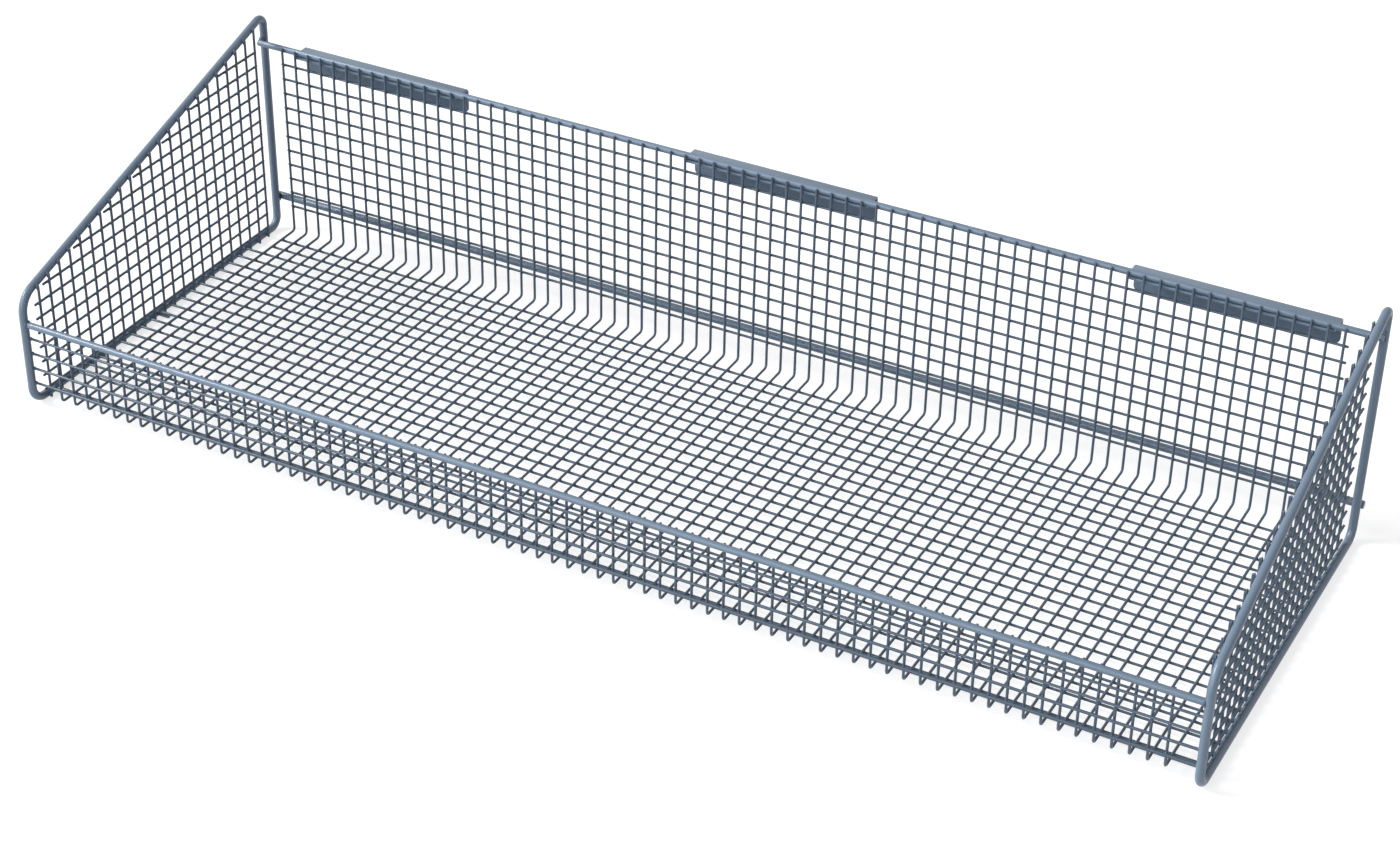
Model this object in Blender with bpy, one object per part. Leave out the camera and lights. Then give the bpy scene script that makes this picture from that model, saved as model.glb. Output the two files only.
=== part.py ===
"""Hanging wall basket of welded, coated steel wire.

X runs along the basket, Y from its low front to its high back, Z up.
The origin is under the middle of the basket's box, on the surface that its two side frames stand on.
"""

import math

import bmesh
import bpy
from mathutils import Matrix, Vector

MM = 0.001

# Wire, rod and sheet thicknesses
MESH_WIRE = 2.0 * MM
FRAME_WIRE = 6.35 * MM
RAIL_WIRE = 5.0 * MM
BACK_ROD = 6.0 * MM
FLOOR_ROD = 4.5 * MM
HOOK_SHEET = 1.8 * MM

# Fits
GAP = 0.3 * MM
WELD_SINK = 0.2 * MM
SURFACE_CLEARANCE = 0.4 * MM

# The two side frames: distances between axes, heights of the corners that their bends round off
FRAME_SPAN = 912.0 * MM
FRAME_BACK_HEIGHT = 191.6 * MM
FRAME_FRONT_HEIGHT = 91.3 * MM
APEX_BEND = 6.5 * MM
SHOULDER_BEND = 18.0 * MM
TOE_BEND = 12.0 * MM
HEEL_BEND = 9.0 * MM

# Rails below the frames' upper bends, height of the back rod, how far rails and rods run past the frames, short rods
BACK_RAIL_DROP = 11.2 * MM
FRONT_RAIL_DROP = 5.0 * MM
BACK_RAIL_OVERLAP = 1.3 * MM
BACK_ROD_HEIGHT = 27.2 * MM
BACK_ROD_OVERHANG = 0.9 * MM
FLOOR_STUB_LENGTH = 8.0 * MM

# The sheet of mesh bent into back, floor and front
TRAY_DEPTH = 299.0 * MM
LONG_PITCH = 12.0 * MM
LONG_EDGE = 24.0 * MM
CROSS_PITCH = 12.7 * MM
BACK_BEND = 3.0 * MM
FRONT_BEND = 3.0 * MM
FRONT_TIP = 1.0 * MM
CROSS_STUB = 2.0 * MM
SHORT_FLOOR_ROWS = 2
BACK_FOOT_MARGIN = 10.0 * MM
FRONT_FOOT_MARGIN = 8.0 * MM
FIRST_FRONT_ROW = 11.3 * MM

# The two side sheets of mesh
SIDE_FIRST_POST = 9.4 * MM
SIDE_ROW_PITCH = 12.06 * MM
SIDE_FIRST_ROW = 0.6 * MM
SIDE_ROW_STUB = 3.5 * MM
SIDE_POST_DROP = 1.8 * MM
SIDE_POST_FOOT = 1.5 * MM
FUSED_SIDE_ROW = 2

# Hooks; the outer two keep their distance from the side frames
HOOK_WIDTH = 150.0 * MM
HOOK_INSET = 32.0 * MM
HOOK_DEPTH = 21.5 * MM
HOOK_DROP = 21.0 * MM
HOOK_BEND = 2.6 * MM
HOOK_CORNER = 4.0 * MM

# Facets
MESH_SIDES = 6
ROD_SIDES = 12
MESH_BEND_STEPS = 2
FRAME_BEND_STEPS = 5
CORNER_STEPS = 3
SHARP_ANGLE = math.radians(65)

# Radii and places that follow
mesh_r = MESH_WIRE / 2
frame_r = FRAME_WIRE / 2
rail_r = RAIL_WIRE / 2
back_rod_r = BACK_ROD / 2
floor_rod_r = FLOOR_ROD / 2

back_y = (TRAY_DEPTH + rail_r + frame_r - HOOK_DEPTH) / 2
front_y = back_y - TRAY_DEPTH
back_rail_y = back_y + mesh_r + GAP + rail_r
back_post_y = back_rail_y + rail_r + GAP + frame_r
back_rod_y = back_post_y + frame_r + GAP + back_rod_r
front_rail_y = front_y - mesh_r - GAP - rail_r

frame_x = FRAME_SPAN / 2
frame_inner_x = frame_x - frame_r
outer_hook_x = frame_x - HOOK_INSET - HOOK_WIDTH / 2
floor_rod_z = SURFACE_CLEARANCE + floor_rod_r
floor_cross_z = floor_rod_z + floor_rod_r + GAP + mesh_r
floor_z = floor_cross_z + MESH_WIRE + GAP

# The sloped bar runs from the low front corner to the high back corner
bar_rise = (FRAME_BACK_HEIGHT - FRAME_FRONT_HEIGHT) / (back_post_y - front_rail_y)
bar_angle = math.atan(bar_rise)
apex_tangent = APEX_BEND * math.tan((math.pi / 2 + bar_angle) / 2)
shoulder_tangent = SHOULDER_BEND * math.tan((math.pi / 2 - bar_angle) / 2)
back_rail_z = FRAME_BACK_HEIGHT - apex_tangent - BACK_RAIL_DROP - rail_r
front_rail_z = FRAME_FRONT_HEIGHT - shoulder_tangent - FRONT_RAIL_DROP - rail_r
back_rod_z = BACK_ROD_HEIGHT

X_AXIS = Vector((1, 0, 0))
Y_AXIS = Vector((0, 1, 0))
Z_AXIS = Vector((0, 0, 1))


def bar_height(y):
    """Height of the sloped bar's axis."""
    return FRAME_BACK_HEIGHT + (y - back_post_y) * bar_rise


def linear(channel):
    """Linear value of one sRGB channel."""
    if channel <= 0.04045:
        return channel / 12.92
    return ((channel + 0.055) / 1.055) ** 2.4


def coat(name, red, green, blue, roughness, metallic):
    """Coloured coat, its colour given in sRGB steps of 255."""
    material = bpy.data.materials.new(name)
    material.use_nodes = True
    shader = material.node_tree.nodes["Principled BSDF"]
    colour = [linear(step / 255) for step in (red, green, blue)]
    shader.inputs["Base Color"].default_value = (*colour, 1.0)
    shader.inputs["Roughness"].default_value = roughness
    shader.inputs["Metallic"].default_value = metallic
    material.diffuse_color = (*colour, 1.0)
    return material


def rounded(corners, radii, steps):
    """Route through corners, each turned on an arc; a radius of zero keeps the point."""
    route = []
    for index, (corner, radius) in enumerate(zip(corners, radii)):
        if radius == 0:
            route.append(corner)
            continue
        before = (corners[index - 1] - corner).normalized()
        after = (corners[(index + 1) % len(corners)] - corner).normalized()
        half_angle = before.angle(after) / 2
        centre = corner + (before + after).normalized() * (radius / math.sin(half_angle))
        reach = radius / math.tan(half_angle)
        arm = corner + before * reach - centre
        last_arm = corner + after * reach - centre
        axis = arm.cross(last_arm)
        turn = arm.angle(last_arm)
        for step in range(steps + 1):
            route.append(centre + Matrix.Rotation(turn * step / steps, 3, axis) @ arm)
    return route


def add_wire(mesh, route, radius, sides, across, closed=False):
    """Adds a round wire; across is square to the plane that the route lies in."""
    rings = []
    last = len(route) - 1
    for index, place in enumerate(route):
        came_from = route[index - 1] if index > 0 or closed else place
        goes_to = route[(index + 1) % len(route)] if index < last or closed else place
        inward = (place - came_from).normalized()
        onward = (goes_to - place).normalized()
        along = (inward + onward).normalized()
        widening = 1 / along.dot(onward if onward.length > 0 else inward)
        outward = across.cross(along) * widening
        ring = []
        for side in range(sides):
            angle = 2 * math.pi * side / sides
            ring.append(mesh.verts.new(place + (outward * math.cos(angle) + across * math.sin(angle)) * radius))
        rings.append(ring)
    pairs = list(zip(rings, rings[1:]))
    if closed:
        pairs.append((rings[-1], rings[0]))
    else:
        mesh.faces.new(rings[0])
        mesh.faces.new(reversed(rings[-1]))
    for ring, following in pairs:
        for side in range(sides):
            other = (side + 1) % sides
            mesh.faces.new((ring[side], following[side], following[other], ring[other]))


def finish(name, mesh, material):
    """Turns the built mesh into a named object, its faces pointing out."""
    bmesh.ops.recalc_face_normals(mesh, faces=mesh.faces)
    data = bpy.data.meshes.new(name)
    mesh.to_mesh(data)
    mesh.free()
    data.shade_smooth()
    data.set_sharp_from_angle(angle=SHARP_ANGLE)
    data.materials.append(material)
    item = bpy.data.objects.new(name, data)
    bpy.context.collection.objects.link(item)
    return item


def wires(name, routes, radius, sides, across, material, closed=False):
    """One object of one or more wires."""
    mesh = bmesh.new()
    for route in routes:
        add_wire(mesh, route, radius, sides, across, closed)
    return finish(name, mesh, material)


def weld(item, joining_wire):
    """Joins an object's wires into one body through a wire that crosses them all."""
    union = item.modifiers.new("weld", "BOOLEAN")
    union.operation = "UNION"
    union.solver = "EXACT"
    union.object = joining_wire
    joining_wire.hide_render = True
    joining_wire.display_type = "WIRE"


def straight_x(half_length, y, z):
    """Route of a wire along X that is centred on the basket."""
    return [Vector((-half_length, y, z)), Vector((half_length, y, z))]


def side_frame(name, x, material):
    """Closed loop: back post, sloped bar, front post and the leg that it stands on."""
    corners = [
        Vector((x, back_post_y, frame_r)),
        Vector((x, back_post_y, FRAME_BACK_HEIGHT)),
        Vector((x, front_rail_y, FRAME_FRONT_HEIGHT)),
        Vector((x, front_rail_y, frame_r)),
    ]
    radii = [HEEL_BEND, APEX_BEND, SHOULDER_BEND, TOE_BEND]
    wires(name, [rounded(corners, radii, FRAME_BEND_STEPS)], frame_r, ROD_SIDES, X_AXIS, material, closed=True)


def rails_and_rods(rail_material, rod_material):
    """Top rails along back and front, the rod behind the back posts and the rods under the floor.

    The rods under the floor each lie against the front of a side post.
    """
    back_rail = straight_x(frame_x + BACK_RAIL_OVERLAP, back_rail_y, back_rail_z)
    wires("back_top_rail", [back_rail], rail_r, ROD_SIDES, Y_AXIS, rail_material)
    front_rail = straight_x(frame_inner_x - GAP, front_rail_y, front_rail_z)
    wires("front_top_rail", [front_rail], rail_r, ROD_SIDES, Y_AXIS, rail_material)
    back_rod = straight_x(frame_x + frame_r + BACK_ROD_OVERHANG, back_rod_y, back_rod_z)
    wires("back_rod", [back_rod], back_rod_r, ROD_SIDES, Y_AXIS, rod_material)
    before_post = mesh_r + GAP + floor_rod_r
    front_rod_y = post_y(post_count - 2) - before_post
    floor_rod = straight_x(frame_inner_x - GAP, front_rod_y, floor_rod_z)
    wires("floor_rod", [floor_rod], floor_rod_r, ROD_SIDES, Y_AXIS, rod_material)
    stub_y = post_y(post_count // 2) - before_post
    stub_end = frame_inner_x - GAP
    for name, way in (("floor_stub_left", -1), ("floor_stub_right", 1)):
        inner = Vector((way * (stub_end - FLOOR_STUB_LENGTH), stub_y, floor_rod_z))
        outer = Vector((way * stub_end, stub_y, floor_rod_z))
        wires(name, [[inner, outer]], floor_rod_r, ROD_SIDES, Y_AXIS, rod_material)


# Rows and columns of the bent sheet
long_gaps = int((FRAME_SPAN - 2 * LONG_EDGE) / LONG_PITCH + 0.5)
back_row_top = back_rail_z - CROSS_PITCH
back_row_count = int((back_row_top - floor_z - BACK_FOOT_MARGIN) / CROSS_PITCH) + 1
floor_row_start = SIDE_FIRST_POST + CROSS_PITCH / 2
floor_row_count = int((TRAY_DEPTH - floor_row_start - FRONT_FOOT_MARGIN) / CROSS_PITCH) + 1
front_row_start = floor_z + FIRST_FRONT_ROW
front_row_count = int((front_rail_z - rail_r - mesh_r - front_row_start) / CROSS_PITCH) + 1
fused_back_row = back_row_count // 2


def long_wire_x(index):
    return (index - long_gaps / 2) * LONG_PITCH


def back_row_z(row):
    return back_row_top - row * CROSS_PITCH


def floor_row_y(row):
    return back_y - floor_row_start - row * CROSS_PITCH


def front_row_z(row):
    return front_row_start + row * CROSS_PITCH


def tray_long_wires(material):
    """Wires that run down the back, along the floor and up the front, all welded to one cross wire."""
    routes = []
    for index in range(long_gaps + 1):
        x = long_wire_x(index)
        corners = [
            Vector((x, back_y, back_rail_z + rail_r)),
            Vector((x, back_y, floor_z)),
            Vector((x, front_y, floor_z)),
            Vector((x, front_y, front_rail_z + FRONT_TIP)),
        ]
        routes.append(rounded(corners, [0, BACK_BEND, FRONT_BEND, 0], MESH_BEND_STEPS))
    tray = wires("tray_long_wires", routes, mesh_r, MESH_SIDES, X_AXIS, material)
    half_length = long_wire_x(long_gaps) + mesh_r + CROSS_STUB
    joining = straight_x(half_length, back_y + MESH_WIRE - WELD_SINK, back_row_z(fused_back_row))
    weld(tray, wires("tray_joining_wire", [joining], mesh_r, MESH_SIDES, Z_AXIS, material))


def tray_cross_wires(material):
    """Cross wires behind the back, under the floor and before the front."""
    short = long_wire_x(long_gaps) + mesh_r + CROSS_STUB
    full = frame_inner_x - GAP
    for row in range(back_row_count):
        if row == fused_back_row:
            continue
        route = straight_x(short, back_y + MESH_WIRE + GAP, back_row_z(row))
        wires(f"back_cross_wire_{row + 1:02d}", [route], mesh_r, MESH_SIDES, Z_AXIS, material)
    for row in range(floor_row_count):
        route = straight_x(short if row < SHORT_FLOOR_ROWS else full, floor_row_y(row), floor_cross_z)
        wires(f"floor_cross_wire_{row + 1:02d}", [route], mesh_r, MESH_SIDES, Y_AXIS, material)
    for row in range(front_row_count):
        route = straight_x(full, front_y - MESH_WIRE - GAP, front_row_z(row))
        wires(f"front_cross_wire_{row + 1:02d}", [route], mesh_r, MESH_SIDES, Z_AXIS, material)


# Rows and posts of the side sheets
post_count = int((TRAY_DEPTH - SIDE_FIRST_POST) / CROSS_PITCH) + 1
first_post_y = back_y - SIDE_FIRST_POST
side_row_clearance = frame_r + GAP + mesh_r


def post_y(index):
    return first_post_y - index * CROSS_PITCH


def side_row_z(row):
    return floor_z + SIDE_FIRST_ROW + row * SIDE_ROW_PITCH


def bend_limit(centre_z, radius, z):
    """How far from a lower bend's centre a row at height z may reach inside the bend."""
    inner_radius = radius - side_row_clearance
    return math.sqrt(max(inner_radius ** 2 - min(z - centre_z, 0) ** 2, 0))


def side_row_ends(z):
    """Front and back end of a side row, clear of the frame that it lies in."""
    heel = back_post_y - HEEL_BEND + bend_limit(frame_r + HEEL_BEND, HEEL_BEND, z)
    toe = front_rail_y + TOE_BEND - bend_limit(frame_r + TOE_BEND, TOE_BEND, z)
    under_bar = (z + side_row_clearance / math.cos(bar_angle) - FRAME_BACK_HEIGHT) / bar_rise + back_post_y
    back_end = min(first_post_y + SIDE_ROW_STUB, heel)
    front_end = max(post_y(post_count - 1) - SIDE_ROW_STUB, toe, under_bar)
    return front_end, back_end


side_rows = []
while side_row_ends(side_row_z(len(side_rows)))[0] < post_y(1):
    side_rows.append(side_row_z(len(side_rows)))


def side_sheet(hand, way, material):
    """Posts inside the frame and rows outside the posts, in two bodies that interlock.

    The first post carries all rows but one; that row carries all other posts.
    """
    seat_x = frame_inner_x - GAP - mesh_r
    row_x = seat_x + MESH_WIRE - WELD_SINK
    post_x = row_x - MESH_WIRE - GAP
    fused_row_x = post_x + MESH_WIRE - WELD_SINK
    split_y = first_post_y - CROSS_PITCH / 2
    bar_top = frame_r / math.cos(bar_angle) - SIDE_POST_DROP

    def post(x, y):
        return [Vector((way * x, y, SIDE_POST_FOOT)), Vector((way * x, y, bar_height(y) + bar_top))]

    def row(x, front, back, z):
        return [Vector((way * x, front, z)), Vector((way * x, back, z))]

    posts = [post(post_x, post_y(index)) for index in range(1, post_count)]
    comb = wires(f"side_posts_{hand}", posts, mesh_r, MESH_SIDES, Y_AXIS, material)
    fused_z = side_row_z(FUSED_SIDE_ROW)
    fused_front, fused_back = side_row_ends(fused_z)
    joining_row = row(fused_row_x, fused_front, split_y - GAP / 2, fused_z)
    weld(comb, wires(f"joining_row_{hand}", [joining_row], mesh_r, MESH_SIDES, Z_AXIS, material))

    rows = [row(row_x, split_y + GAP / 2, fused_back, fused_z)]
    for index, z in enumerate(side_rows):
        if index != FUSED_SIDE_ROW:
            rows.append(row(row_x, *side_row_ends(z), z))
    grid = wires(f"side_rows_{hand}", rows, mesh_r, MESH_SIDES, Z_AXIS, material)
    first_post = post(seat_x, first_post_y)
    weld(grid, wires(f"joining_post_{hand}", [first_post], mesh_r, MESH_SIDES, Y_AXIS, material))


def hook(name, x, material):
    """Bent sheet: a flange under the back rail and a lip that hangs behind it."""
    top = back_rail_z - rail_r - GAP
    front_edge = back_y + mesh_r + GAP
    sheet_z = top - HOOK_SHEET / 2
    sheet_y = front_edge + HOOK_DEPTH - HOOK_SHEET / 2
    bend_start = Vector((0, sheet_y - HOOK_BEND, sheet_z))
    profile = rounded(
        [bend_start, Vector((0, sheet_y, sheet_z)), Vector((0, sheet_y, sheet_z - HOOK_BEND))],
        [0, HOOK_BEND, 0],
        CORNER_STEPS,
    )[1:-1]
    half = HOOK_WIDTH / 2
    mesh = bmesh.new()
    columns = []
    for way in (-1, 1):
        columns.append([mesh.verts.new(place + X_AXIS * (x + way * half)) for place in profile])
    left, right = columns
    for index in range(len(profile) - 1):
        mesh.faces.new((left[index], left[index + 1], right[index + 1], right[index]))

    flange_corners = [
        Vector((x - half, profile[0].y, sheet_z)),
        Vector((x - half, front_edge, sheet_z)),
        Vector((x + half, front_edge, sheet_z)),
        Vector((x + half, profile[0].y, sheet_z)),
    ]
    lip_corners = [
        Vector((x - half, sheet_y, profile[-1].z)),
        Vector((x - half, sheet_y, top - HOOK_DROP)),
        Vector((x + half, sheet_y, top - HOOK_DROP)),
        Vector((x + half, sheet_y, profile[-1].z)),
    ]
    for corners, first, last in ((flange_corners, left[0], right[0]), (lip_corners, left[-1], right[-1])):
        outline = rounded(corners, [0, HOOK_CORNER, HOOK_CORNER, 0], CORNER_STEPS)[1:-1]
        mesh.faces.new([first] + [mesh.verts.new(place) for place in outline] + [last])
    item = finish(name, mesh, material)
    thickness = item.modifiers.new("sheet", "SOLIDIFY")
    thickness.thickness = HOOK_SHEET
    thickness.offset = 0
    thickness.use_even_offset = True


def main():
    for item in list(bpy.data.objects):
        bpy.data.objects.remove(item, do_unlink=True)

    frame_coat = coat("frame_coat", 112, 129, 151, 0.42, 0.25)
    rail_coat = coat("rail_coat", 116, 133, 155, 0.42, 0.25)
    rod_coat = coat("rod_coat", 108, 124, 146, 0.42, 0.25)
    mesh_coat = coat("mesh_coat", 92, 108, 130, 0.45, 0.25)
    hook_coat = coat("hook_coat", 104, 121, 144, 0.42, 0.25)

    for hand, way in (("left", -1), ("right", 1)):
        side_frame(f"side_frame_{hand}", way * frame_x, frame_coat)
        side_sheet(hand, way, mesh_coat)
    rails_and_rods(rail_coat, rod_coat)
    tray_long_wires(mesh_coat)
    tray_cross_wires(mesh_coat)
    for name, place in (("hook_left", -1), ("hook_middle", 0), ("hook_right", 1)):
        hook(name, place * outer_hook_x, hook_coat)


main()
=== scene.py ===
import math
import bpy
from mathutils import Matrix, Vector


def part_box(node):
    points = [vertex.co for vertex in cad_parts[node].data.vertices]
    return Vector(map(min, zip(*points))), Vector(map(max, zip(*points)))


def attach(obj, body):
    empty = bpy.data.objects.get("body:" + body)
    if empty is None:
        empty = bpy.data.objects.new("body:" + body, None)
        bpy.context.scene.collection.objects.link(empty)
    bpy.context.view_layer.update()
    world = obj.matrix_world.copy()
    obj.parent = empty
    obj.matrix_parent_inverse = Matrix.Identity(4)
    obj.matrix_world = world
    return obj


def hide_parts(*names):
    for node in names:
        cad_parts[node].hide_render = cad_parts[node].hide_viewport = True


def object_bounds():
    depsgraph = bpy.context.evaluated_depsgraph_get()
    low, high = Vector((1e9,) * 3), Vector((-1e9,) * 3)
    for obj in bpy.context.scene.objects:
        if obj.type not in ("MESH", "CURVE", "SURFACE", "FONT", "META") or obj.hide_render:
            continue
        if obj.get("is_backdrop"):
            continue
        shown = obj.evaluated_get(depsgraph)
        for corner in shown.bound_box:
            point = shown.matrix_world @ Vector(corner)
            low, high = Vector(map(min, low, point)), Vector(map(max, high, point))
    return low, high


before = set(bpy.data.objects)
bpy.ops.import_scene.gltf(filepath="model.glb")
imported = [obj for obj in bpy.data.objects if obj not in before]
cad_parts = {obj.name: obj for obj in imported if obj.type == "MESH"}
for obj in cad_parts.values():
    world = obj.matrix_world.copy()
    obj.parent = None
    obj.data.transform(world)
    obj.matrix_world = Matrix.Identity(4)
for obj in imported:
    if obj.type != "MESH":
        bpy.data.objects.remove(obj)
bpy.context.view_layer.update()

# Side frames. Each is a loop of quarter-inch mild steel rod, cold bent at four corners, its ends butt-welded
# under the leg. The whole basket is powder coated after welding: a polyester coat with fine aluminium in it,
# blue-grey and satin, with the faint orange peel of a baked powder.
MM = 0.001
FRAME_BACK_HEIGHT = 191.6 * MM
FRAME_FRONT_HEIGHT = 91.3 * MM
APEX_BEND = 6.5 * MM
SHOULDER_BEND = 18 * MM
TOE_BEND = 12 * MM
HEEL_BEND = 9 * MM
ROD_SIDES = 24
ROD_BEND_STEPS = 12
SAME_POINT = 0.01 * MM
SHARP_FROM_DEGREES = 40
COAT_LIGHT = "77899D"
COAT_DARK = "697C90"
COAT_METAL = 0.12
COAT_ROUGHNESS = 0.42
COAT_INDEX = 1.4
FILM_WEIGHT = 0.3
FILM_ROUGHNESS = 0.2
COAT_CLOUD = 30 * MM
ORANGE_PEEL = 1.6 * MM
ROD_PEEL_DEPTH = 0.06 * MM
COAT_DUST = 0.5 * MM
DUST_RANGE = (0.3, 0.7)
DUST_ROUGHENING = (-0.05, 0.07)


def linear(hex_colour):
    """Linear colour of an sRGB hex value."""
    steps = [int(hex_colour[place:place + 2], 16) / 255 for place in (0, 2, 4)]
    return [step / 12.92 if step <= 0.04045 else ((step + 0.055) / 1.055) ** 2.4 for step in steps] + [1.0]


def add_node(tree, kind, settings, links):
    """Adds a shader node, sets its properties and inputs and links its inputs to other nodes' outputs."""
    node = tree.nodes.new(kind)
    for name, value in settings.items():
        if isinstance(name, int) or name in node.inputs:
            node.inputs[name].default_value = value
        else:
            setattr(node, name, value)
    for name, (source, output) in links.items():
        tree.links.new(source.outputs[output], node.inputs[name])
    return node


def powder_coat(name, light, dark, peel_depth, roughness=COAT_ROUGHNESS):
    """Baked powder over steel: soft clouds of tone, orange peel in the surface and specks of coarse powder."""
    material = bpy.data.materials.new(name)
    material.use_nodes = True
    tree = material.node_tree
    shader = tree.nodes["Principled BSDF"]
    shader.inputs["Metallic"].default_value = COAT_METAL
    shader.inputs["IOR"].default_value = COAT_INDEX
    shader.inputs["Coat Weight"].default_value = FILM_WEIGHT
    shader.inputs["Coat Roughness"].default_value = FILM_ROUGHNESS
    place = add_node(tree, "ShaderNodeTexCoord", {}, {})
    clouds = add_node(
        tree, "ShaderNodeTexNoise", {"Scale": 1 / COAT_CLOUD, "Detail": 3.0}, {"Vector": (place, "Object")})
    tone = add_node(
        tree, "ShaderNodeMix", {"data_type": "RGBA", 6: linear(dark), 7: linear(light)}, {0: (clouds, "Fac")})
    tree.links.new(tone.outputs[2], shader.inputs["Base Color"])
    specks = add_node(
        tree, "ShaderNodeTexNoise", {"Scale": 1 / COAT_DUST, "Detail": 2.0}, {"Vector": (place, "Object")})
    smoothest, roughest = (roughness + change for change in DUST_ROUGHENING)
    gloss = add_node(
        tree, "ShaderNodeMapRange",
        {"From Min": DUST_RANGE[0], "From Max": DUST_RANGE[1], "To Min": smoothest, "To Max": roughest},
        {"Value": (specks, "Fac")})
    tree.links.new(gloss.outputs["Result"], shader.inputs["Roughness"])
    peel = add_node(
        tree, "ShaderNodeTexNoise", {"Scale": 1 / ORANGE_PEEL, "Detail": 1.0}, {"Vector": (place, "Object")})
    bump = add_node(
        tree, "ShaderNodeBump", {"Strength": 0.5, "Distance": peel_depth}, {"Height": (peel, "Fac")})
    tree.links.new(bump.outputs["Normal"], shader.inputs["Normal"])
    return material


def take_up(*items):
    """Selects these objects alone and makes the first one active."""
    bpy.ops.object.select_all(action="DESELECT")
    for item in items:
        item.select_set(True)
    bpy.context.view_layer.objects.active = items[0]


def settle():
    """Applies the active object's place, turn and size to its mesh."""
    bpy.ops.object.transform_apply(location=True, rotation=True, scale=True)


def smooth(item):
    """Shades curved walls smooth and keeps sharp rims."""
    take_up(item)
    bpy.ops.object.shade_smooth_by_angle(angle=math.radians(SHARP_FROM_DEGREES))


def bent_rod(name, diameter, sides, start, heading, course, bend_steps):
    """Draws a ring along runs and bends; a heading of 0 degrees points along Y and 90 along Z."""
    angle = math.radians(heading)
    bpy.ops.object.select_all(action="DESELECT")
    bpy.ops.mesh.primitive_circle_add(
        vertices=sides, radius=diameter / 2, location=start, rotation=(angle - math.pi / 2, 0, 0))
    rod = bpy.context.active_object
    rod.name = name
    settle()
    place = Vector(start)
    bpy.ops.object.mode_set(mode="EDIT")
    bpy.ops.mesh.select_all(action="SELECT")
    for size, turn in course:
        if turn == 0:
            run = Vector((0, math.cos(angle), math.sin(angle))) * size
            bpy.ops.mesh.extrude_region_move(TRANSFORM_OT_translate={"value": run})
            place = place + run
            continue
        turned = math.radians(turn)
        inward = Vector((0, -math.sin(angle), math.cos(angle))) * math.copysign(size, turn)
        centre = place + inward
        bpy.ops.mesh.spin(steps=bend_steps, angle=-turned, center=centre, axis=(1, 0, 0))
        place = centre + Matrix.Rotation(turned, 3, "X") @ -inward
        angle += turned
    bpy.ops.object.mode_set(mode="OBJECT")
    return rod


def dress(piece, material, slot, *nodes):
    """Gives a finished piece its material, its body and the CAD nodes that it stands for."""
    piece.data.materials.clear()
    piece.data.materials.append(material)
    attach(piece, "root")
    if nodes:
        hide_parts(*nodes)


rod_coat = powder_coat("powder_coat_on_rod", COAT_LIGHT, COAT_DARK, ROD_PEEL_DEPTH)
frame_low, frame_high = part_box("side_frame_right")
frame_rod = frame_high.x - frame_low.x
rod_r = frame_rod / 2
leg_z = frame_low.z + rod_r
post_front_y = frame_low.y + rod_r
post_back_y = frame_high.y - rod_r
depth = post_back_y - post_front_y
bar_rise = (FRAME_BACK_HEIGHT - FRAME_FRONT_HEIGHT) / depth
bar_angle = math.atan(bar_rise)
apex_tangent = APEX_BEND * math.tan((math.pi / 2 + bar_angle) / 2)
shoulder_tangent = SHOULDER_BEND * math.tan((math.pi / 2 - bar_angle) / 2)
half_leg = depth / 2
course = [
    (half_leg - HEEL_BEND, 0),
    (HEEL_BEND, 90),
    (FRAME_BACK_HEIGHT - apex_tangent - leg_z - HEEL_BEND, 0),
    (APEX_BEND, 90 + math.degrees(bar_angle)),
    (depth / math.cos(bar_angle) - apex_tangent - shoulder_tangent, 0),
    (SHOULDER_BEND, 90 - math.degrees(bar_angle)),
    (FRAME_FRONT_HEIGHT - shoulder_tangent - leg_z - TOE_BEND, 0),
    (TOE_BEND, 90),
    (half_leg - TOE_BEND, 0),
]
for hand in ("left", "right"):
    low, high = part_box(f"side_frame_{hand}")
    start = ((low.x + high.x) / 2, post_front_y + half_leg, leg_z)
    side_frame = bent_rod(f"side_frame_loop_{hand}", frame_rod, ROD_SIDES, start, 0, course, ROD_BEND_STEPS)
    take_up(side_frame)
    bpy.ops.object.mode_set(mode="EDIT")
    bpy.ops.mesh.select_all(action="SELECT")
    bpy.ops.mesh.remove_doubles(threshold=SAME_POINT)
    bpy.ops.mesh.normals_make_consistent(inside=False)
    bpy.ops.object.mode_set(mode="OBJECT")
    smooth(side_frame)
    dress(side_frame, rod_coat, "frame_coat", f"side_frame_{hand}")

# Rails and rods. The two top rails are 5 mm rod, the back rod is 6 mm and the floor rods 4.5 mm, all cut to
# length with sheared ends that the coat rounds. The back rail and back rod lie against the frames' posts, the
# front rail and the floor rods are butted between them.
RIM_ROUND = 0.7 * MM
RIM_STEPS = 3


def round_ends(item, rounding):
    """Bevels the rims of a rod's two flat ends."""
    take_up(item)
    bpy.ops.object.mode_set(mode="EDIT")
    bpy.ops.mesh.select_all(action="DESELECT")
    bpy.ops.mesh.select_face_by_sides(number=4, type="GREATER", extend=False)
    bpy.ops.mesh.bevel(offset=rounding, segments=RIM_STEPS, affect="EDGES")
    bpy.ops.object.mode_set(mode="OBJECT")


def straight_rod(name, start, end, diameter, sides, rounding):
    """A straight rod from one point to another, its ends rounded."""
    start, end = Vector(start), Vector(end)
    along = end - start
    bpy.ops.object.select_all(action="DESELECT")
    bpy.ops.mesh.primitive_cylinder_add(
        vertices=sides, radius=diameter / 2, depth=along.length, location=(start + end) / 2,
        rotation=along.to_track_quat("Z", "Y").to_euler())
    rod = bpy.context.active_object
    rod.name = name
    settle()
    round_ends(rod, rounding)
    smooth(rod)
    return rod


def middle(node):
    """The middle of a CAD node's box."""
    low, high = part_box(node)
    return (low + high) / 2


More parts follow.
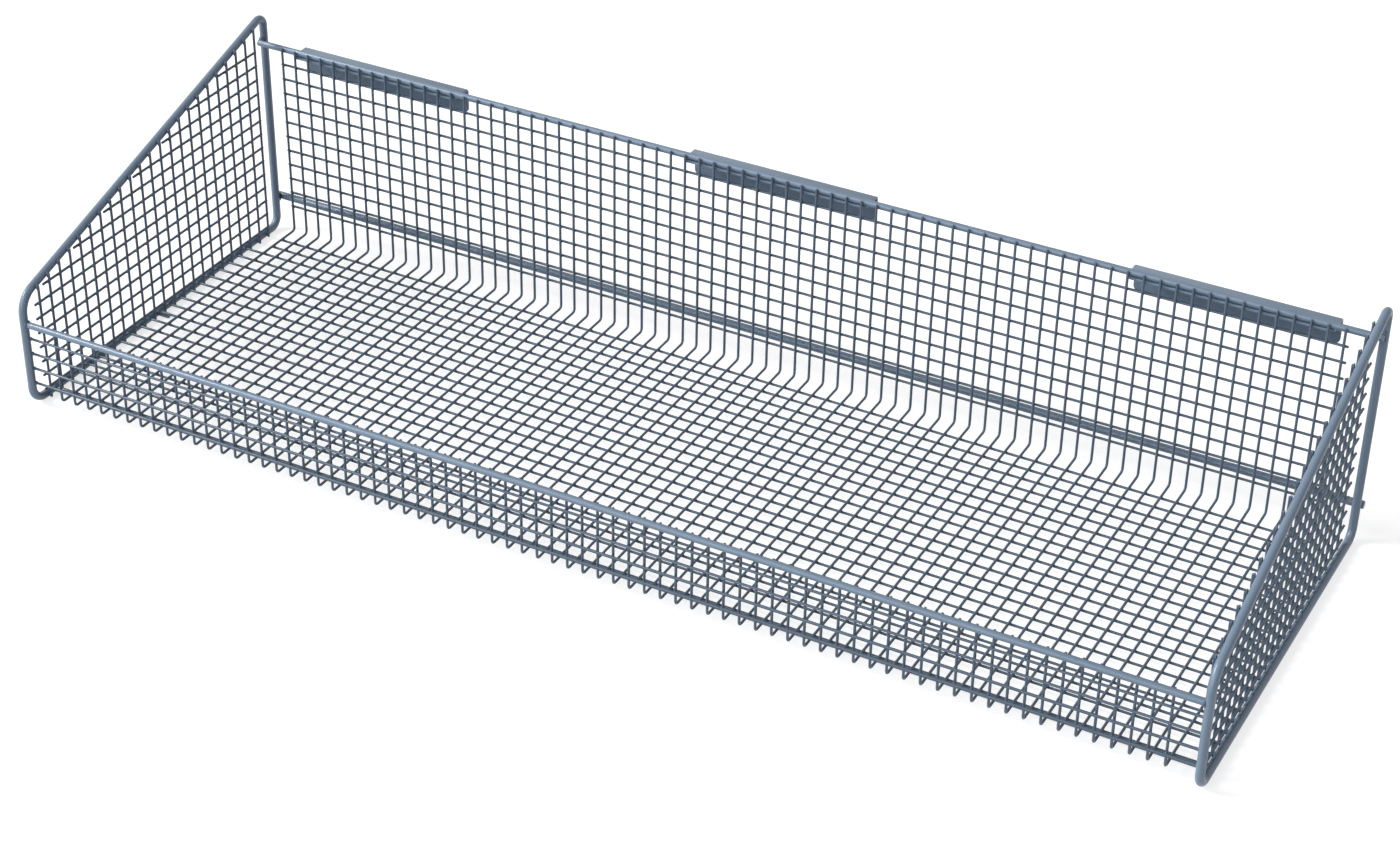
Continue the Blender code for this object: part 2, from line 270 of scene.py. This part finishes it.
def rod_along_x(name, node, diameter, sides, rounding):
    """A straight rod along X in the place of a CAD node."""
    low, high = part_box(node)
    axis = middle(node)
    return straight_rod(name, (low.x, axis.y, axis.z), (high.x, axis.y, axis.z), diameter, sides, rounding)


for node, slot in (
    ("back_top_rail", "rail_coat"),
    ("front_top_rail", "rail_coat"),
    ("back_rod", "rod_coat"),
    ("floor_rod", "rod_coat"),
    ("floor_stub_left", "rod_coat"),
    ("floor_stub_right", "rod_coat"),
):
    low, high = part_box(node)
    rod = rod_along_x(f"{node}_bar", node, high.z - low.z, ROD_SIDES, RIM_ROUND)
    dress(rod, rod_coat, slot, node)

# Long wires of the tray. 73 mesh wires of 2 mm drawn steel run down the back, along the floor and up the front
# as one sheet, welded flat and then folded. Their cut ends lie against the inner side of the two top rails.
# Between so many close wires the coat looks darker than on the rods, so the mesh wires get a darker copy of the
# same coat: painted shade.
MESH_COAT_LIGHT_WITH_PAINTED_SHADE = "57687A"
MESH_COAT_DARK_WITH_PAINTED_SHADE = "495A6C"
MESH_PEEL_DEPTH = 0.05 * MM
WIRE_SIDES = 10
WIRE_BEND_STEPS = 4
TIP_ROUND = 0.45 * MM
LONG_PITCH = 12 * MM
LONG_WIRES = 73
CROSS_PITCH = 12.7 * MM
BACK_BEND = 3 * MM
FRONT_BEND = 3 * MM
FRONT_TIP = 1 * MM
FIT = 0.3 * MM
CAD_WELD_SINK = 0.2 * MM

# The mesh coat is the rods' coat painted darker: painted shade for the shade between the close wires.
mesh_coat = powder_coat("powder_coat_on_mesh_wire_with_painted_shade", MESH_COAT_LIGHT_WITH_PAINTED_SHADE, MESH_COAT_DARK_WITH_PAINTED_SHADE, MESH_PEEL_DEPTH)
tray_low, tray_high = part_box("tray_long_wires")
wire = 2 * (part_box("floor_cross_wire_05")[1].z - middle("floor_cross_wire_05").z)
back_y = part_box("back_top_rail")[0].y - FIT - wire / 2
front_y = tray_low.y + wire / 2
floor_z = tray_low.z + wire / 2
first_long_x = -(LONG_WIRES - 1) / 2 * LONG_PITCH


def multiply(item, offset, count):
    """Repeats an object's mesh at even steps, as one mesh."""
    take_up(item)
    rank = item.modifiers.new("rank", "ARRAY")
    rank.use_relative_offset = False
    rank.use_constant_offset = True
    rank.constant_offset_displace = offset
    rank.count = count
    rank.use_merge_vertices = False
    bpy.ops.object.modifier_apply(modifier=rank.name)


def straight_wire(name, start, end):
    """A straight piece of mesh wire, its ends rounded."""
    return straight_rod(name, start, end, wire, WIRE_SIDES, TIP_ROUND)


def join(name, *items):
    """Joins objects into the first of them and names it."""
    take_up(*items)
    bpy.ops.object.join()
    whole = bpy.context.active_object
    whole.name = name
    return whole


front_tip_z = middle("front_top_rail").z + FRONT_TIP
course = [
    (tray_high.z - floor_z - BACK_BEND, 0),
    (BACK_BEND, -90),
    (back_y - front_y - BACK_BEND - FRONT_BEND, 0),
    (FRONT_BEND, -90),
    (front_tip_z - floor_z - FRONT_BEND, 0),
]
long_wires = bent_rod(
    "long_wires", wire, WIRE_SIDES, (first_long_x, back_y, tray_high.z), -90, course, WIRE_BEND_STEPS)
bpy.ops.object.mode_set(mode="EDIT")
bpy.ops.mesh.select_all(action="SELECT")
bpy.ops.mesh.fill_holes(sides=0)
bpy.ops.mesh.normals_make_consistent(inside=False)
bpy.ops.object.mode_set(mode="OBJECT")
round_ends(long_wires, TIP_ROUND)
smooth(long_wires)
multiply(long_wires, (LONG_PITCH, 0, 0), LONG_WIRES)

# The middle cross wire of the back belongs to the same CAD node as the long wires, so it is dressed with them.
back_rows = sorted(
    (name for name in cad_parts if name.startswith("back_cross_wire")), key=lambda name: -middle(name).z)
back_top_z = middle(back_rows[0]).z
back_row_count = len(back_rows) + 1
joined_z = back_top_z - back_row_count // 2 * CROSS_PITCH
joined_y = back_y + wire - CAD_WELD_SINK
joined_row = straight_wire("joined_row", (tray_low.x, joined_y, joined_z), (tray_high.x, joined_y, joined_z))
long_wires = join("long_wires", long_wires, joined_row)
dress(long_wires, mesh_coat, "mesh_coat", "tray_long_wires")

# Cross wires of the tray: the same 2 mm wire, laid across the long wires behind the back, under the floor and
# before the front. All before the front and all but the first two under the floor reach the side frames and
# are welded there. Wires of one length are copies of the first one.
models = {}
cross_wires = {}
for node in sorted(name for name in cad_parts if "_cross_wire_" in name):
    reach = round(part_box(node)[1].x, 6)
    if reach in models:
        model, model_axis = models[reach]
        take_up(model)
        bpy.ops.object.duplicate(linked=False)
        cross_wire = bpy.context.active_object
        cross_wire.name = f"{node}_round"
        bpy.ops.transform.translate(value=middle(node) - model_axis)
        settle()
    else:
        cross_wire = rod_along_x(f"{node}_round", node, wire, WIRE_SIDES, TIP_ROUND)
        models[reach] = (cross_wire, middle(node))
    cross_wires[node] = cross_wire
for node, cross_wire in cross_wires.items():
    dress(cross_wire, mesh_coat, "mesh_coat", node)

# Resistance welds of the tray: at every crossing the two wires are pressed and fused, which leaves a small
# flattened nugget between them. The coat flows round it, so it shows as a soft swelling.
NUGGET_WIDTH = 2.3 * MM
NUGGET_DEPTH = 1.5 * MM
NUGGET_SIDES = 8
NUGGET_RINGS = 5
WELD_ROUGHNESS = 0.45
WELD_PEEL_DEPTH = 0.12 * MM

# The welds take the mesh's darker tones, the same painted shade as on the mesh wires.
weld_coat_with_painted_shade = powder_coat(
    "powder_coat_on_weld_with_painted_shade", MESH_COAT_LIGHT_WITH_PAINTED_SHADE, MESH_COAT_DARK_WITH_PAINTED_SHADE, WELD_PEEL_DEPTH, WELD_ROUGHNESS)


def nugget(name, place, size):
    """One coated weld spot."""
    bpy.ops.object.select_all(action="DESELECT")
    bpy.ops.mesh.primitive_uv_sphere_add(
        segments=NUGGET_SIDES, ring_count=NUGGET_RINGS, radius=0.5, location=place)
    spot = bpy.context.active_object
    spot.name = name
    spot.scale = size
    settle()
    bpy.ops.object.shade_smooth()
    return spot


contact = (wire + FIT) / 2
floor_rows = sorted(
    (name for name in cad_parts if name.startswith("floor_cross_wire")), key=lambda name: -middle(name).y)
front_rows = sorted(
    (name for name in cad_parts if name.startswith("front_cross_wire")), key=lambda name: middle(name).z)
standing = (NUGGET_WIDTH, NUGGET_DEPTH, NUGGET_WIDTH)
lying = (NUGGET_WIDTH, NUGGET_WIDTH, NUGGET_DEPTH)
for name, place, size, step, count in (
    ("back_weld_spots", (first_long_x, back_y + contact, back_top_z), standing,
     (0, 0, -CROSS_PITCH), back_row_count),
    ("floor_weld_spots", (first_long_x, middle(floor_rows[0]).y, floor_z - contact), lying,
     (0, -CROSS_PITCH, 0), len(floor_rows)),
    ("front_weld_spots", (first_long_x, front_y - contact, middle(front_rows[0]).z), standing,
     (0, 0, CROSS_PITCH), len(front_rows)),
):
    spots = nugget(name, place, size)
    multiply(spots, (LONG_PITCH, 0, 0), LONG_WIRES)
    multiply(spots, step, count)
    dress(spots, weld_coat_with_painted_shade, "mesh_coat")

# Side sheets. On the inner side of each frame stand 23 posts of mesh wire, cropped just under the top of the
# sloped bar and at the leg, with 14 rows welded to their outer side. The rows end in short stubs inside the
# frame.
SIDE_FIRST_POST = 9.4 * MM
SIDE_ROW_PITCH = 12.06 * MM
SIDE_FIRST_ROW = 0.6 * MM
SIDE_ROW_STUB = 3.5 * MM
POST_DROP = 1.8 * MM
POST_FOOT = 1.5 * MM
JOINED_ROW = 2
BAR_BEAD = (1.7 * MM, 2.8 * MM, 5.2 * MM)
LEG_BEAD = (1.7 * MM, 2.8 * MM, 3.6 * MM)

first_post_y = back_y - SIDE_FIRST_POST
post_count = int((back_y - front_y - SIDE_FIRST_POST) / CROSS_PITCH) + 1
last_post_y = first_post_y - (post_count - 1) * CROSS_PITCH
row_clearance = rod_r + FIT + wire / 2
bar_top = rod_r / math.cos(bar_angle) - POST_DROP
split_y = first_post_y - CROSS_PITCH / 2
sideways = (NUGGET_DEPTH, NUGGET_WIDTH, NUGGET_WIDTH)


def bar_height(y):
    """Height of the sloped bar's axis."""
    return FRAME_BACK_HEIGHT + (y - post_back_y) * bar_rise


def bend_limit(radius, z):
    """How far from a lower bend's centre a row at height z may reach inside the bend."""
    return math.sqrt(max((radius - row_clearance) ** 2 - min(z - leg_z - radius, 0) ** 2, 0))


def row_ends(z):
    """Front and back end of a row, clear of the frame."""
    heel = post_back_y - HEEL_BEND + bend_limit(HEEL_BEND, z)
    toe = post_front_y + TOE_BEND - bend_limit(TOE_BEND, z)
    under_bar = (z + row_clearance / math.cos(bar_angle) - FRAME_BACK_HEIGHT) / bar_rise + post_back_y
    return max(last_post_y - SIDE_ROW_STUB, toe, under_bar), min(first_post_y + SIDE_ROW_STUB, heel)


row_heights = []
next_z = floor_z + SIDE_FIRST_ROW
while row_ends(next_z)[0] < first_post_y - CROSS_PITCH:
    row_heights.append(next_z)
    next_z += SIDE_ROW_PITCH

# As in the CAD, the rear post goes with the rows, and one row's long front part goes with the posts.
for hand, way in (("left", -1), ("right", 1)):
    low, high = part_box(f"side_frame_{hand}")
    inner_x = low.x if way > 0 else high.x
    seat_x = inner_x - way * (FIT + wire / 2)
    row_x = seat_x + way * (wire - CAD_WELD_SINK)
    post_x = row_x - way * (wire + FIT)
    joined_row_x = post_x + way * (wire - CAD_WELD_SINK)
    posts = []
    for index in range(post_count):
        y = first_post_y - index * CROSS_PITCH
        x = seat_x if index == 0 else post_x
        posts.append(straight_wire(f"post_{hand}_{index}", (x, y, POST_FOOT), (x, y, bar_height(y) + bar_top)))
    rows = []
    for index, z in enumerate(row_heights):
        front_end, back_end = row_ends(z)
        if index == JOINED_ROW:
            posts.append(straight_wire(
                f"joined_row_{hand}", (joined_row_x, front_end, z), (joined_row_x, split_y - FIT / 2, z)))
            front_end = split_y + FIT / 2
        rows.append(straight_wire(f"row_{hand}_{index}", (row_x, front_end, z), (row_x, back_end, z)))
    rows.append(posts.pop(0))
    for pieces, name, node in (
        (posts, f"posts_{hand}", f"side_posts_{hand}"),
        (rows, f"rows_{hand}", f"side_rows_{hand}"),
    ):
        dress(join(name, *pieces), mesh_coat, "mesh_coat", node)

    # Nuggets where the posts cross the rows, and longer beads where they lie on the sloped bar and on the leg.
    beads = []
    nugget_x = (post_x + row_x) / 2
    for index, z in enumerate(row_heights):
        crossed = int((first_post_y - row_ends(z)[0]) / CROSS_PITCH) + 1
        beads.append(nugget(f"row_welds_{hand}_{index}", (nugget_x, first_post_y, z), sideways))
        multiply(beads[-1], (0, -CROSS_PITCH, 0), crossed)
    bead_x = (post_x + inner_x) / 2
    beads.append(nugget(f"bar_welds_{hand}", (bead_x, first_post_y, bar_height(first_post_y)), BAR_BEAD))
    multiply(beads[-1], (0, -CROSS_PITCH, -CROSS_PITCH * bar_rise), post_count)
    beads.append(nugget(f"leg_welds_{hand}", (bead_x, first_post_y, leg_z), LEG_BEAD))
    multiply(beads[-1], (0, -CROSS_PITCH, 0), post_count)
    dress(join(f"side_weld_spots_{hand}", *beads), weld_coat_with_painted_shade, "mesh_coat")

# Hooks. Three pieces of 1.8 mm sheet steel, each folded once: the flange is welded under the back rail and the
# lip hangs down behind it, to catch the wall rail. Their corners are rounded and their edges deburred.
HOOK_SHEET = 1.8 * MM
HOOK_BEND = 2.6 * MM
HOOK_BEND_STEPS = 6
HOOK_CORNER = 4 * MM
HOOK_CORNER_STEPS = 5
HOOK_PEEL_DEPTH = 0.08 * MM
DEBURR = 0.3 * MM
DEBURR_STEPS = 2


def pick(item, wanted):
    """Selects for edit mode the vertices whose place passes a test, and the edges between them."""
    for vertex in item.data.vertices:
        vertex.select = wanted(vertex.co)
    for edge in item.data.edges:
        edge.select = all(item.data.vertices[end].select for end in edge.vertices)
    for face in item.data.polygons:
        face.select = False


hook_coat = powder_coat("powder_coat_on_sheet", COAT_LIGHT, COAT_DARK, HOOK_PEEL_DEPTH)
half_sheet = HOOK_SHEET / 2
for name in ("hook_left", "hook_middle", "hook_right"):
    low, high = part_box(name)
    flange_z = high.z - half_sheet
    bend_y = high.y - half_sheet - HOOK_BEND
    bpy.ops.object.select_all(action="DESELECT")
    bpy.ops.mesh.primitive_plane_add(
        size=1, location=((low.x + high.x) / 2, (low.y + bend_y) / 2, flange_z))
    hook = bpy.context.active_object
    hook.name = f"{name}_sheet"
    hook.scale = (high.x - low.x, bend_y - low.y, 1)
    settle()
    pick(hook, lambda place: abs(place.y - bend_y) < half_sheet)
    bpy.ops.object.mode_set(mode="EDIT")
    bpy.ops.mesh.spin(
        steps=HOOK_BEND_STEPS, angle=math.pi / 2, center=(0, bend_y, flange_z - HOOK_BEND), axis=(1, 0, 0))
    lip_run = (0, 0, low.z - flange_z + HOOK_BEND)
    bpy.ops.mesh.extrude_region_move(TRANSFORM_OT_translate={"value": lip_run})
    bpy.ops.mesh.select_all(action="SELECT")
    bpy.ops.mesh.remove_doubles(threshold=SAME_POINT)
    bpy.ops.object.mode_set(mode="OBJECT")
    pick(hook, lambda place: abs(place.y - low.y) < half_sheet or abs(place.z - low.z) < half_sheet)
    bpy.ops.object.mode_set(mode="EDIT")
    bpy.ops.mesh.bevel(offset=HOOK_CORNER, segments=HOOK_CORNER_STEPS, affect="VERTICES")
    bpy.ops.object.mode_set(mode="OBJECT")
    for kind, settings in (
        ("SOLIDIFY", {"thickness": HOOK_SHEET, "offset": 0, "use_even_offset": True}),
        ("BEVEL", {"width": DEBURR, "segments": DEBURR_STEPS, "limit_method": "ANGLE"}),
    ):
        step = hook.modifiers.new(kind.lower(), kind)
        for key, value in settings.items():
            setattr(step, key, value)
        take_up(hook)
        bpy.ops.object.modifier_apply(modifier=step.name)
    bpy.ops.object.mode_set(mode="EDIT")
    bpy.ops.mesh.select_all(action="SELECT")
    bpy.ops.mesh.normals_make_consistent(inside=False)
    bpy.ops.object.mode_set(mode="OBJECT")
    smooth(hook)
    dress(hook, hook_coat, "hook_coat", name)

# Arc welds, run by hand where the thick pieces meet: rails and rods at the frames, hooks under the back rail.
# Each is a small lumpy fillet under the coat, coloured with the mesh's darker tones: painted shade in the
# joints.
LUMP = 1.6 * MM
LUMP_HEIGHT = 0.35 * MM
FILLET_SIDES = 24
FILLET_RINGS = 12
RAIL_FILLET = (5 * MM, 3.4 * MM, 3 * MM)
BACK_ROD_FILLET = (5 * MM, 3.6 * MM, 3 * MM)
BACK_ROD_FILLET_RISE = 2.6 * MM
BUTT_SINK = 0.2 * MM
FRONT_RAIL_FILLET = (3.6 * MM, 6.6 * MM, 7 * MM)
FLOOR_ROD_FILLET = (3.4 * MM, 5.8 * MM, 4.6 * MM)
FLOOR_ROD_FILLET_RISE = 0.3 * MM
ROW_FILLET_INSET = 0.3 * MM
SHORT_FLOOR_ROWS = 2
FLOOR_ROW_FILLET = (2.2 * MM, 3 * MM, 2.2 * MM)
FLOOR_ROW_FILLET_DROP = 0.4 * MM
FRONT_ROW_FILLET = (2.2 * MM, 2.6 * MM, 3 * MM)
HOOK_FILLET = (9 * MM, 2.4 * MM, 1.8 * MM)
HOOK_FILLET_SHARES = (0.12, 0.5, 0.88)
HOOK_FILLET_BEHIND = 0.75
HOOK_FILLET_RISE = 0.4 * MM


def fillet(name, place, size):
    """One lump of arc weld, its surface uneven."""
    bpy.ops.object.select_all(action="DESELECT")
    bpy.ops.mesh.primitive_uv_sphere_add(
        segments=FILLET_SIDES, ring_count=FILLET_RINGS, radius=0.5, location=place)
    lump = bpy.context.active_object
    lump.name = name
    lump.scale = size
    settle()
    ripples = bpy.data.textures.new(f"{name}_ripples", "CLOUDS")
    ripples.noise_scale = LUMP
    uneven = lump.modifiers.new("uneven", "DISPLACE")
    uneven.texture = ripples
    uneven.texture_coords = "LOCAL"
    uneven.strength = LUMP_HEIGHT
    bpy.ops.object.modifier_apply(modifier=uneven.name)
    bpy.ops.object.shade_smooth()
    return lump


back_rail = middle("back_top_rail")
back_rod = middle("back_rod")
front_rail = middle("front_top_rail")
rail_r = (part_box("back_top_rail")[1].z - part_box("back_top_rail")[0].z) / 2
welds = []
for hand, way in (("left", -1), ("right", 1)):
    frame_x = way * (frame_low.x + rod_r)
    butt_x = way * (frame_low.x + BUTT_SINK)
    row_end_x = butt_x - way * ROW_FILLET_INSET
    for rise in (-1, 1):
        rail_weld_z = back_rail.z + rise * rail_r
        rod_weld_z = back_rod.z + rise * BACK_ROD_FILLET_RISE
        welds.append(("rail_weld", (frame_x, back_rail.y + rail_r, rail_weld_z), RAIL_FILLET))
        welds.append(("rod_weld", (frame_x, post_back_y + rod_r, rod_weld_z), BACK_ROD_FILLET))
    welds.append(("front_weld", (butt_x, front_rail.y, front_rail.z), FRONT_RAIL_FILLET))
    for node in ("floor_rod", f"floor_stub_{hand}"):
        seat = middle(node)
        welds.append(("floor_weld", (butt_x, seat.y, seat.z + FLOOR_ROD_FILLET_RISE), FLOOR_ROD_FILLET))
    for node in floor_rows[SHORT_FLOOR_ROWS:]:
        seat = middle(node)
        welds.append(("row_weld", (row_end_x, seat.y, seat.z - FLOOR_ROW_FILLET_DROP), FLOOR_ROW_FILLET))
    for node in front_rows:
        seat = middle(node)
        welds.append(("row_weld", (row_end_x, seat.y, seat.z), FRONT_ROW_FILLET))
for name in ("hook_left", "hook_middle", "hook_right"):
    low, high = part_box(name)
    for share in HOOK_FILLET_SHARES:
        x = low.x + (high.x - low.x) * share
        y = back_rail.y + rail_r * HOOK_FILLET_BEHIND
        welds.append(("hook_weld", (x, y, high.z + HOOK_FILLET_RISE), HOOK_FILLET))
fillets = [fillet(name, place, size) for name, place, size in welds]
dress(join("arc_welds", *fillets), weld_coat_with_painted_shade, "frame_coat")

# Studio: a pale floor that runs to a white background, a large soft lamp above and to the left, a weaker and
# wider one low in front, and an even pale sky. The floor and the sky show as white and the floor keeps the
# basket's shadow.
FLOOR_SIZE = 40.0
FLOOR_GREY = "C2C2C4"
FLOOR_ROUGHNESS = 0.9
FLOOR_SHINE = 0.1
FLOOR_LIFT = 0.72
SKY = 0.24


def seen_directly(tree):
    """One where a camera, glossy or transmission ray meets the surface, nought elsewhere."""
    path = add_node(tree, "ShaderNodeLightPath", {}, {})
    seen = add_node(
        tree, "ShaderNodeMath", {"operation": "MAXIMUM"},
        {0: (path, "Is Camera Ray"), 1: (path, "Is Glossy Ray")})
    return add_node(
        tree, "ShaderNodeMath", {"operation": "MAXIMUM"}, {0: (seen, "Value"), 1: (path, "Is Transmission Ray")})


bpy.ops.object.select_all(action="DESELECT")
bpy.ops.mesh.primitive_plane_add(size=FLOOR_SIZE, location=(0, 0, 0))
floor = bpy.context.active_object
floor.name = "studio_floor"
floor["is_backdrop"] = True
paper = bpy.data.materials.new("white_paper")
paper.use_nodes = True
tree = paper.node_tree
shader = tree.nodes["Principled BSDF"]
shader.inputs["Base Color"].default_value = linear(FLOOR_GREY)
shader.inputs["Roughness"].default_value = FLOOR_ROUGHNESS
shader.inputs["Specular IOR Level"].default_value = FLOOR_SHINE
lift = add_node(
    tree, "ShaderNodeMath", {"operation": "MULTIPLY", 1: FLOOR_LIFT}, {0: (seen_directly(tree), "Value")})
glow = add_node(tree, "ShaderNodeEmission", {}, {"Strength": (lift, "Value")})
both = add_node(tree, "ShaderNodeAddShader", {}, {0: (shader, "BSDF"), 1: (glow, "Emission")})
tree.links.new(both.outputs["Shader"], tree.nodes["Material Output"].inputs["Surface"])
floor.data.materials.append(paper)

world = bpy.data.worlds.new("studio_sky")
bpy.context.scene.world = world
world.use_nodes = True
tree = world.node_tree
sky = tree.nodes["Background"]
sky.inputs["Color"].default_value = (1, 1, 1, 1)
strength = add_node(
    tree, "ShaderNodeMapRange", {"To Min": SKY, "To Max": 1.0}, {"Value": (seen_directly(tree), "Value")})
tree.links.new(strength.outputs["Result"], sky.inputs["Strength"])

for name, toward, softness, strength in (
    ("key_lamp", (1.3, 0.5, -1.0), 22, 2.7),
    ("front_lamp", (0.3, 1.0, -0.5), 50, 1.2),
):
    lamp = bpy.data.lights.new(name, "SUN")
    lamp.angle = math.radians(softness)
    lamp.energy = strength
    holder = bpy.data.objects.new(name, lamp)
    holder.rotation_euler = Vector(toward).to_track_quat("-Z", "Y").to_euler()
    bpy.context.scene.collection.objects.link(holder)

# Camera, fitted to the crossings of the mesh in the photograph: it stands in front, to the right, and looks
# down. Its lens has no shift, so the basket's uprights converge a little downwards.
CAMERA_PLACE = (0.82378, -1.54544, 1.17402)
CAMERA_AZIMUTH = 27.531
CAMERA_ELEVATION = 33.125
CAMERA_ROLL = 1.015
CAMERA_LENS = 74.84
CAMERA_SENSOR = 36
CAMERA_NEAREST = 0.05
CAMERA_FARTHEST = 100

camera = bpy.data.cameras.new("camera")
camera.lens = CAMERA_LENS
camera.sensor_width = CAMERA_SENSOR
camera.clip_start = CAMERA_NEAREST
camera.clip_end = CAMERA_FARTHEST
viewer = bpy.data.objects.new("camera", camera)
viewer.matrix_world = (
    Matrix.Translation(CAMERA_PLACE)
    @ Matrix.Rotation(math.radians(CAMERA_AZIMUTH), 4, "Z")
    @ Matrix.Rotation(math.radians(90 - CAMERA_ELEVATION), 4, "X")
    @ Matrix.Rotation(math.radians(CAMERA_ROLL), 4, "Z")
)
bpy.context.scene.collection.objects.link(viewer)
bpy.context.scene.camera = viewer
bpy.context.scene.view_settings.view_transform = "Standard"

low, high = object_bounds()
